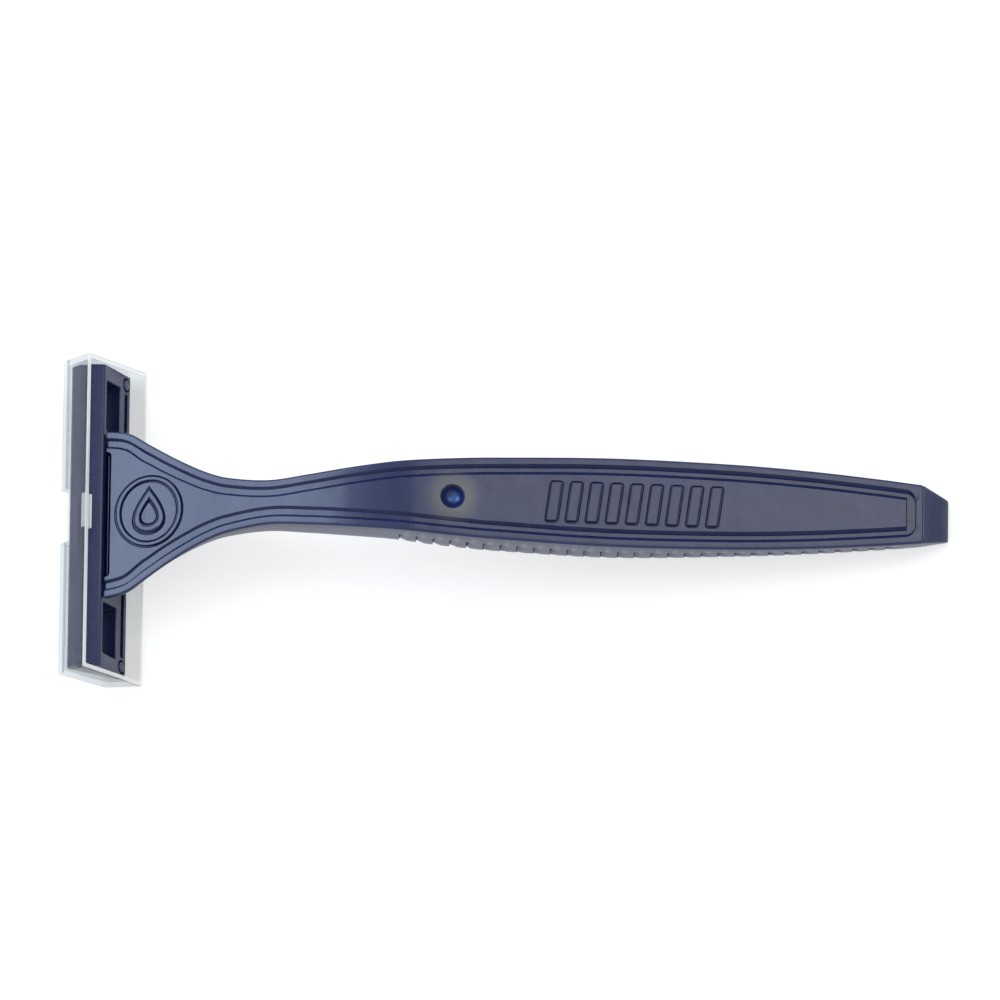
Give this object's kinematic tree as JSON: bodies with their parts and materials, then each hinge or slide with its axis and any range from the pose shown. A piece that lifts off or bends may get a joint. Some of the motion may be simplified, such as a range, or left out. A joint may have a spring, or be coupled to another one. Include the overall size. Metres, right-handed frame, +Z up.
{
  "type": "cartridge razor",
  "caption": "Twin-blade safety razor with a fixed head, a waisted handle ribbed underneath, and a clear blade guard that pulls off the front.",
  "frame": {"origin": "centre of the bounding box at its base, so that the razor lies on the guard's lower edge and the flat under its tail at z = 0", "axes": "+X from the head to the tail, +Y across the head, +Z up out of the brand face"},
  "size_m": [0.1166, 0.0428, 0.0171],
  "materials": {
    "handle_plastic": "satin moulded navy plastic",
    "seat_plastic": "satin moulded navy plastic",
    "cap_plastic": "satin moulded navy plastic",
    "spacer_plastic": "dull moulded plastic",
    "blade_steel": "ground and polished blade strip",
    "guard_clear": "clear polished plastic"
  },
  "bodies": {
    "razor": {"handle": "handle_plastic", "blade_seat": "seat_plastic", "lower_blade": "blade_steel", "blade_spacer": "spacer_plastic", "upper_blade": "blade_steel", "blade_cap": "cap_plastic"},
    "guard": {"blade_guard": "guard_clear"}
  },
  "joints": [
    {"name": "guard_slide", "type": "slide", "parent": "razor", "child": "guard", "axis": [-1, 0, 0], "range_m": [0, 0.016]}
  ]
}
